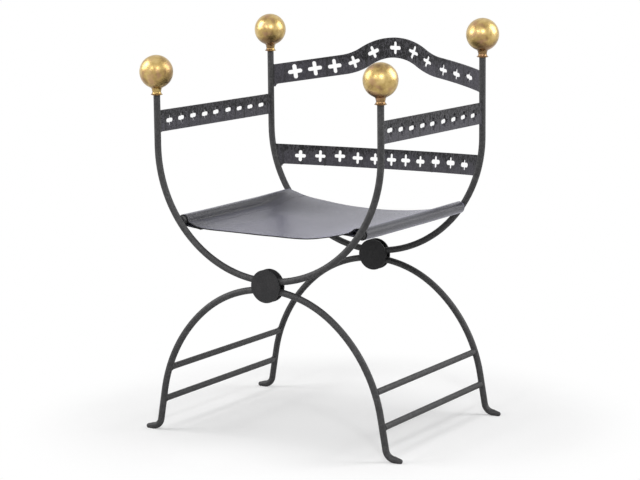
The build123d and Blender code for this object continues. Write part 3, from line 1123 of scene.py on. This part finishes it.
@dataclass(frozen=True)
class Finials:
    """The four brass balls and their collars."""

    turns: tuple[float, ...] = (0.4, 2.1, 3.9, 5.2)
    tilt: float = 0.3

    def dress(self) -> None:
        """Gives each finial its own cast of aged brass."""
        ends = [(end, side) for end in ("front", "rear") for side in ("left", "right")]
        for turn, (end, side) in zip(self.turns, ends):
            ball = f"{end}_{side}_finial_ball"
            turned = (turn, self.tilt * turn, turn)
            centre = tuple(middle_of(ball))
            brass = AgedBrass(f"{end}_{side}_brass", Slot.BRASS, centre=centre, turn=turned)
            dress([ball, f"{end}_{side}_finial_collar"], brass)


# ---------------------------------------------------------------- leather seat


class Side(Enum):
    """A side of the chair, and which way it lies from the middle."""

    LEFT = -1
    RIGHT = 1


@dataclass(frozen=True)
class Eased:
    """Values that can be eased, field by field, towards another set of the same kind."""

    def towards(self, other: Self, share: float) -> Self:
        """Eases every field.

        Args:
            other: The other set.
            share: How far to go towards it, from 0 to 1.

        Returns:
            The set in between.
        """
        made = []
        for each in fields(self):
            first, second = getattr(self, each.name), getattr(other, each.name)
            nested = isinstance(first, Eased)
            made.append(first.towards(second, share) if nested else mixed(first, second, share))
        return type(self)(*made)


@dataclass(frozen=True)
class Knot(Eased):
    """A place that the leather passes through: inwards from the rail's axis, height and slope."""

    reach: float
    height: float
    slope: float


@dataclass(frozen=True)
class HangingLine(Eased):
    """How the leather runs from a rail to the middle, at a distance behind its front edge.

    The sleeve has a radius and stands a rise above the rail's axis. The leather leaves it at one
    angle and its hem tucks under it by another, both in degrees.
    """

    back: float
    sleeve_radius: float
    sleeve_rise: float
    leave_angle: float
    tuck: float
    knee: Knot
    seam: Knot
    belly: Knot
    middle: Knot


KNEE, SEAM, BELLY, MIDDLE = 0.0200, 0.0420, 0.1300, 0.24549
SNUG = 0.0124


def hanging(sleeve: Sequence[float], knots: Sequence[tuple[float, float]]) -> HangingLine:
    """One hanging line.

    Args:
        sleeve: Distance behind the front edge, sleeve's radius and rise, leaving angle and tuck.
        knots: Height and slope at the knee, the seam, the belly and the middle.

    Returns:
        The line.
    """
    reaches = (KNEE, SEAM, BELLY, MIDDLE)
    return HangingLine(*sleeve, *(Knot(reach, *knot) for reach, knot in zip(reaches, knots)))


LEFT_LINES = (
    hanging(
        (0.000, SNUG, 0.0, -14.0, 10.0),
        ((0.5092, -0.50), (0.5008, -0.16), (0.4964, -0.01), (0.4958, 0.010)),
    ),
    hanging(
        (0.078, SNUG, 0.0, -12.0, 0.0),
        ((0.5076, -0.26), (0.5036, -0.10), (0.4970, -0.025), (0.4956, 0.006)),
    ),
    hanging(
        (0.300, 0.0130, 0.0006, -12.0, 0.0),
        ((0.5084, -0.24), (0.5046, -0.10), (0.4974, -0.030), (0.4956, -0.010)),
    ),
    hanging(
        (0.477, 0.0142, 0.0021, 74.0, 0.0),
        ((0.5268, -0.26), (0.5198, -0.27), (0.5047, -0.14), (0.4963, -0.030)),
    ),
)
RIGHT_LINES = (
    hanging(
        (0.000, SNUG, 0.0, 82.0, 42.0),
        ((0.5262, -0.72), (0.5147, -0.27), (0.4970, -0.12), (0.4958, -0.010)),
    ),
    hanging(
        (0.088, 0.0132, 0.0, 60.0, 0.0),
        ((0.5215, -0.35), (0.5140, -0.24), (0.4988, -0.11), (0.4956, -0.006)),
    ),
    hanging(
        (0.308, 0.0136, 0.0, 50.0, 0.0),
        ((0.5190, -0.25), (0.5130, -0.22), (0.4985, -0.10), (0.4956, 0.010)),
    ),
    hanging(
        (0.477, 0.0138, 0.0008, 28.0, 0.0),
        ((0.5180, -0.24), (0.5122, -0.20), (0.4994, -0.10), (0.4963, 0.030)),
    ),
)


@dataclass(frozen=True)
class SlingSeat:
    """One hide, sleeved and sewn round both seat rails and slack between them."""

    rail_x: float = MIDDLE
    rail_z: float = 0.516
    thickness: float = 0.0022
    front_y: float = -0.27374
    rear_y: float = 0.20496
    front_skew: float = 0.0050
    hem_gap: float = 0.00245
    hem_end: float = 0.0075
    bowl: float = 0.0055
    sleeve_steps: int = 40
    columns: int = 190
    rows: int = 60
    lines: Mapping[Side, Sequence[HangingLine]] = field(
        default_factory=lambda: {Side.LEFT: LEFT_LINES, Side.RIGHT: RIGHT_LINES}
    )
    stitch_pitch: float = 0.0072
    stitch_length: float = 0.0046
    stitch_radius: float = 0.00055
    stitch_margin: float = 0.008
    stitch_inset: float = 0.001
    stitch_room: float = 0.012
    hem_drop: float = 0.0012
    hem_bend: float = 0.0002
    hem_steps: int = 10
    knot_steps: tuple[int, ...] = (12, 12, 30, 30)
    slack_from: float = 0.02
    slack_length: float = 0.08
    broad_waves: tuple[float, float, float, float] = (7.0, 5.0, 0.4, 0.0012)
    fine_waves: tuple[float, float, float, float] = (28.0, 9.0, 2.7, 0.0002)
    skew_length: float = 0.12

    def _line(self, side: Side, y: float) -> HangingLine:
        """The leather's line at a place along a rail, eased from one to the next.

        Args:
            side: Which rail.
            y: Place along the rail.

        Returns:
            The line there.
        """
        back = y - self.front_y
        lines = self.lines[side]
        for first, second in zip(lines, lines[1:]):
            if back <= second.back:
                share = (back - first.back) / (second.back - first.back)
                return first.towards(second, smooth_share(share))
        return lines[-1]

    def _on_sleeve(self, line: HangingLine, angle: float) -> Vector:
        """A point of the sleeve's section.

        Args:
            line: The leather's line there.
            angle: Angle up from level inwards, in radians.

        Returns:
            Its distance inwards from the rail's axis, and its height.
        """
        centre = self.rail_z + line.sleeve_rise
        reach = line.sleeve_radius * math.cos(angle)
        return Vector((reach, centre + line.sleeve_radius * math.sin(angle)))

    @staticmethod
    def _curve(
        start: Vector, start_pull: Vector, end: Vector, end_pull: Vector, steps: int
    ) -> list[Vector]:
        """Points of a cubic between two places with a pull at each.

        Args:
            start: First place.
            start_pull: Direction and strength there.
            end: Last place.
            end_pull: Direction and strength there.
            steps: Number of parts.

        Returns:
            The points after the first.
        """
        points = []
        for index in range(1, steps + 1):
            t = index / steps
            points.append(
                start * (2 * t**3 - 3 * t**2 + 1)
                + start_pull * (t**3 - 2 * t**2 + t)
                + end * (3 * t**2 - 2 * t**3)
                + end_pull * (t**3 - t**2)
            )
        return points

    def half_section(self, side: Side, y: float) -> list[Vector]:
        """Half the leather's section: from the raw hem, round the rail, to the middle.

        Args:
            side: Which half.
            y: Place along the rail.

        Returns:
            Points of (distance inwards from the rail's axis, height).
        """
        line = self._line(side, y)
        seam = Vector((line.seam.reach, line.seam.height))
        hem = seam - Vector((0.0, self.hem_gap))
        to_hem = hem - Vector((0.0, self.rail_z + line.sleeve_rise))
        spread = math.acos(line.sleeve_radius / to_hem.length)
        under = math.atan2(to_hem.y, to_hem.x) - spread + math.radians(line.tuck)
        leave = math.radians(line.leave_angle)
        touch = self._on_sleeve(line, under)
        slack = (hem - touch).normalized()
        end = hem + slack * self.hem_end + Vector((0.0, -self.hem_drop))
        points = [end, end * 0.5 + hem * 0.5 + Vector((0.0, self.hem_bend)), hem]
        shares = (index / self.hem_steps for index in range(1, self.hem_steps + 1))
        points += [hem + (touch - hem) * share for share in shares]
        around = 2 * math.pi + under - leave
        steps = range(1, self.sleeve_steps + 1)
        points += [
            self._on_sleeve(line, under - around * step / self.sleeve_steps) for step in steps
        ]
        pull = Vector((math.sin(leave), -math.cos(leave)))
        knots = (line.knee, line.seam, line.belly, line.middle)
        for knot, steps in zip(knots, self.knot_steps):
            start, spot = points[-1], Vector((knot.reach, knot.height))
            span = (spot - start).length
            end_pull = Vector((1.0, knot.slope))
            points += self._curve(start, pull * span, spot, end_pull * span, steps)
            pull = end_pull
        return points

    @staticmethod
    def _length(points: Sequence[Vector]) -> float:
        """Length of a line of points."""
        return sum((b - a).length for a, b in zip(points, points[1:]))

    @staticmethod
    def _at(points: Sequence[Vector], distance: float) -> Vector:
        """Finds a place along a line of points.

        Args:
            points: The line.
            distance: How far along it.

        Returns:
            The place.
        """
        for a, b in zip(points, points[1:]):
            step = (b - a).length
            if distance <= step:
                return a + (b - a) * (distance / max(step, 1e-9))
            distance -= step
        return points[-1].copy()

    @staticmethod
    def _waves(x: float, y: float, waves: tuple[float, float, float, float]) -> float:
        """Noise from its lumps in a metre across and along, its seed and its height."""
        across, along, seed, height = waves
        return noise.noise(Vector((x * across, y * along, seed))) * height

    def _wrinkle(self, side: Side, reach: float, y: float) -> float:
        """Small rise and fall of the slack leather.

        Args:
            side: Which half.
            reach: Distance inwards from the rail's axis.
            y: Place along the rail.

        Returns:
            The change of height.
        """
        x = side.value * (self.rail_x - reach)
        slack = smooth_share((reach - self.slack_from) / self.slack_length)
        along = (y - self.front_y) / (self.rear_y - self.front_y)
        dished = self.bowl * 4.0 * along * (1.0 - along)
        broad = self._waves(x, y, self.broad_waves)
        fine = self._waves(x, y, self.fine_waves)
        return (broad + fine - dished) * slack

    def _skew(self, x: float, y: float) -> float:
        """How far the leather's slanting front edge is drawn forward at a place."""
        forward = smooth_share((self.skew_length - (y - self.front_y)) / self.skew_length)
        return self.front_skew * forward * (x + self.rail_x) / (2 * self.rail_x)

    def flat_size(self) -> tuple[float, float]:
        """Measures the hide as it was cut.

        Returns:
            Its width, averaged over five sections, and its length.
        """
        widths = []
        for share in (0.0, 0.25, 0.5, 0.75, 1.0):
            y = mixed(self.front_y, self.rear_y, share)
            widths.append(sum(self._length(self.half_section(side, y)) for side in Side))
        return sum(widths) / len(widths), self.rear_y - self.front_y

    def build(self) -> bpy.types.Object:
        """Lays a flat grid along the sling's section, and gives it the hide's thickness.

        Returns:
            The leather.
        """
        width, length = self.flat_size()
        shape = bmesh.new()
        shape.loops.layers.uv.new("flat")
        made = bmesh.ops.create_grid(
            shape, x_segments=self.columns, y_segments=self.rows, size=0.5, calc_uvs=True
        )
        sections: dict[tuple[Side, float], list[Vector]] = {}
        for vert in made["verts"]:
            side = Side.LEFT if vert.co.x <= 0 else Side.RIGHT
            share = 1.0 - abs(vert.co.x) * 2.0
            y = mixed(self.front_y, self.rear_y, round(vert.co.y + 0.5, 6))
            if (side, y) not in sections:
                sections[side, y] = self.half_section(side, y)
            points = sections[side, y]
            spot = self._at(points, share * self._length(points))
            height = spot.y + self._wrinkle(side, spot.x, y)
            x = side.value * (self.rail_x - spot.x)
            vert.co = (x, y - self._skew(x, y), height)
        bmesh.ops.recalc_face_normals(shape, faces=shape.faces)
        finishes = [
            SlingLeather("sling_leather", Slot.LEATHER, flat=(width, length)),
            CutLeather("cut_leather_edge", Slot.LEATHER),
        ]
        piece = finished_piece(mesh_of("leather_sling", shape), finishes)
        hide = piece.modifiers.new("hide", "SOLIDIFY")
        hide.thickness = self.thickness
        hide.offset = 0.0
        hide.use_even_offset = True
        hide.edge_crease_outer = 1.0
        hide.edge_crease_inner = 1.0
        hide.material_offset_rim = 1
        fine = piece.modifiers.new("fine", "SUBSURF")
        fine.levels = fine.render_levels = 1
        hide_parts("seat_sling")
        return piece

    def stitches(self) -> bpy.types.Object:
        """Sews a row of short stitches through both layers beside each rail.

        Returns:
            The stitches.
        """
        shape = bmesh.new()
        count = int((self.rear_y - self.front_y - self.stitch_room) / self.stitch_pitch)
        for side in Side:
            for index in range(count):
                y = self.front_y + self.stitch_margin + index * self.stitch_pitch
                line = self._line(side, y)
                reach = line.seam.reach - self.stitch_inset
                height = line.seam.height - line.seam.slope * self.stitch_inset
                height += self._wrinkle(side, reach, y) + self.thickness / 2
                x = side.value * (self.rail_x - reach)
                spot = Vector((x, y - self._skew(x, y), height))
                stretch = Matrix.Diagonal(
                    (self.stitch_radius, self.stitch_length / 2, self.stitch_radius, 1.0)
                )
                bmesh.ops.create_uvsphere(
                    shape,
                    u_segments=6,
                    v_segments=5,
                    radius=1.0,
                    matrix=Matrix.Translation(spot) @ stretch,
                )
        thread = mesh_of("seam_stitches", shape)
        return finished_piece(thread, [WaxedThread("waxed_thread", Slot.LEATHER)])

    def declare(self, thread: bpy.types.Object) -> None:
        """Logs the size of the hide as it was cut.

        Args:
            thread: The stitches on it; not used.
        """
        width, length = self.flat_size()
        LOG.info("leather cut %.3f by %.3f m", width, length)


# ---------------------------------------------------------------- studio


@dataclass(frozen=True)
class Lamp:
    """A soft box: where it hangs, how big it is and how brightly its face shines.

    One that isn't mirrored lights the chair, but doesn't show in its metal and leather.
    """

    name: str
    place: Point
    aim: Point
    size: tuple[float, float]
    brightness: float
    mirrored: bool = True
    watts: float = 4.0

    def hang(self) -> None:
        """Makes the area light."""
        light = bpy.data.lights.new(self.name, "AREA")
        light.shape = "RECTANGLE"
        light.size, light.size_y = self.size
        light.energy = self.brightness * self.watts * self.size[0] * self.size[1]
        lamp = linked(light)
        look = Vector(self.aim) - Vector(self.place)
        lamp.rotation_euler = look.to_track_quat("-Z", "Y").to_euler()
        lamp.location = self.place
        lamp.visible_glossy = self.mirrored


@dataclass(frozen=True)
class Studio:
    """Pale floor, soft boxes, a graded room and the camera."""

    lamps: tuple[Lamp, ...]
    floor_radius: float = 60.0
    floor_colour: Colour = (0.82, 0.82, 0.82)
    clean_share: float = 0.36
    clean_from: float = 0.50
    clean_to: float = 0.80
    sweep_from: float = 0.8
    sweep_to: float = 2.0
    ceiling: float = 0.11
    near_wall: float = 0.50
    side_wall: float = 0.12
    far_wall: float = 0.88
    near_turn: tuple[float, float] = (-0.25, -0.70)
    near_height: tuple[float, float] = (0.64, 0.32)
    far_turn: tuple[float, float] = (0.52, 0.90)
    far_height: tuple[float, float] = (0.54, 0.17)
    low_height: tuple[float, float] = (0.75, 0.30)
    eye: Point = (2.50729, -4.24908, 1.23768)
    eye_right: Point = (0.85929693, 0.51137469, -0.01023233)
    eye_up: Point = (-0.07226959, 0.14119555, 0.98734033)
    eye_forward: Point = (-0.50634562, 0.84767903, -0.15828574)
    lens: float = 115.367
    sensor_width: float = 36.0
    far_clip: float = 200.0

    @staticmethod
    def _rays(graph: Graph, *kinds: str) -> Signal:
        """1 for rays of these kinds, by Light Path, and 0 for others."""
        path = graph.node("ShaderNodeLightPath").outputs
        return sum((Signal(graph, path[f"Is {kind} Ray"]) for kind in kinds), 0.0)

    def _wall(self, graph: Graph, way: Socket) -> Signal:
        """How brightly the room lights the chair from a direction.

        Args:
            graph: The node tree.
            way: The direction, of length 1.

        Returns:
            Its brightness, where 1 is white.
        """
        height = graph.parts(way)[2]
        away = Vector((self.eye_forward[0], self.eye_forward[1], 0.0)).normalized()
        inputs = {0: way, 1: tuple(away)}
        settings = {"operation": "DOT_PRODUCT"}
        ahead = graph.number("ShaderNodeVectorMath", settings, inputs, output=1)
        near = graph.step(ahead, *self.near_turn) * graph.step(height, *self.near_height)
        far = graph.step(ahead, *self.far_turn) * graph.step(height, *self.far_height)
        low = graph.step(height, *self.low_height)
        level = self.ceiling + (self.side_wall - self.ceiling) * low
        level = level + (self.near_wall - self.side_wall) * near
        return level + (self.far_wall - self.side_wall) * far

    def floor(self) -> None:
        """Lays the floor, which turns to plain white away from the chair and keeps its shadow."""
        shape = bmesh.new()
        bmesh.ops.create_circle(shape, cap_ends=True, segments=96, radius=self.floor_radius)
        mesh = bpy.data.meshes.new("studio_floor")
        shape.to_mesh(mesh)
        shape.free()
        material = bpy.data.materials.new("studio_floor")
        graph = Graph(material)
        at = graph.place()
        reach = graph.number("ShaderNodeVectorMath", {"operation": "LENGTH"}, {0: at}, output=1)
        watched = self._rays(graph, "Camera")
        mirrored = self._rays(graph, "Glossy", "Transmission")
        far = graph.step(reach, self.clean_from, self.clean_to)
        clean = self.clean_share + (1.0 - self.clean_share) * far
        share = watched * clean + mirrored * graph.step(reach, self.sweep_from, self.sweep_to)
        matt = graph.node("ShaderNodeBsdfDiffuse", None, {"Color": self.floor_colour})
        white = graph.node("ShaderNodeEmission", None, {"Color": (1.0, 1.0, 1.0), "Strength": 1.0})
        graph.either(share, matt, white, "ShaderNodeOutputMaterial")
        mesh.materials.append(material)
        floor = linked(mesh)

    def room(self) -> None:
        """Makes the world: a graded room that lights the chair, behind a plain white background."""
        world = bpy.data.worlds.new("studio_room")
        bpy.context.scene.world = world
        graph = Graph(world)
        level = self._wall(graph, graph.node("ShaderNodeTexCoord").outputs["Generated"])
        white = (1.0, 1.0, 1.0)
        room = graph.node("ShaderNodeBackground", None, {"Color": white, "Strength": level})
        plain = graph.node("ShaderNodeBackground", None, {"Color": white})
        seen = self._rays(graph, "Camera", "Glossy", "Transmission")
        graph.either(seen, room, plain, "ShaderNodeOutputWorld")

    def camera(self) -> None:
        """Stands the camera in the front left quarter, a little above the seat."""
        data = bpy.data.cameras.new("studio_camera")
        data.sensor_width = self.sensor_width
        data.lens = self.lens
        data.clip_end = self.far_clip
        camera = linked(data)
        turn = Matrix((self.eye_right, self.eye_up, -Vector(self.eye_forward))).transposed()
        camera.matrix_world = Matrix.Translation(self.eye) @ turn.to_4x4()
        bpy.context.scene.camera = camera

    def build(self) -> None:
        """Makes the whole studio."""
        bpy.context.scene.view_settings.view_transform = "Standard"
        self.camera()
        self.floor()
        self.room()
        for lamp in self.lamps:
            lamp.hang()
        LOG.info("studio has %d lamps", len(self.lamps))


LAMPS = (
    Lamp("overhead_box", (0.0, 0.0, 3.2), (0.0, 0.0, 0.0), (1.6, 1.6), 3.9, mirrored=False),
    Lamp("left_box", (-2.34, -1.32, 2.24), (0.0, 0.0, 0.9), (1.45, 2.0), 4.8),
    Lamp("right_box", (2.30, 1.44, 2.18), (0.0, 0.0, 0.9), (1.45, 2.0), 4.9),
    Lamp("key_lamp", (2.05, -2.94, 2.67), (0.0, 0.0, 0.8), (0.40, 0.40), 58.0),
    Lamp("fill_lamp", (-0.05, -3.63, 2.58), (0.0, 0.0, 0.8), (0.28, 0.28), 55.0),
)


def main() -> None:
    """Builds and dresses the chair, then its studio."""
    logging.basicConfig(level=logging.INFO, format="%(message)s")
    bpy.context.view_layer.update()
    bars = BarFrame()
    bars.dress()
    straps = StrapWork()
    straps.dress()
    straps.burrs()
    WeldWork().build(bars, straps)
    Finials().dress()
    seat = SlingSeat()
    hide = seat.build()
    seat.declare(seat.stitches())
    Studio(lamps=LAMPS).build()


if __name__ == "__main__":
    main()
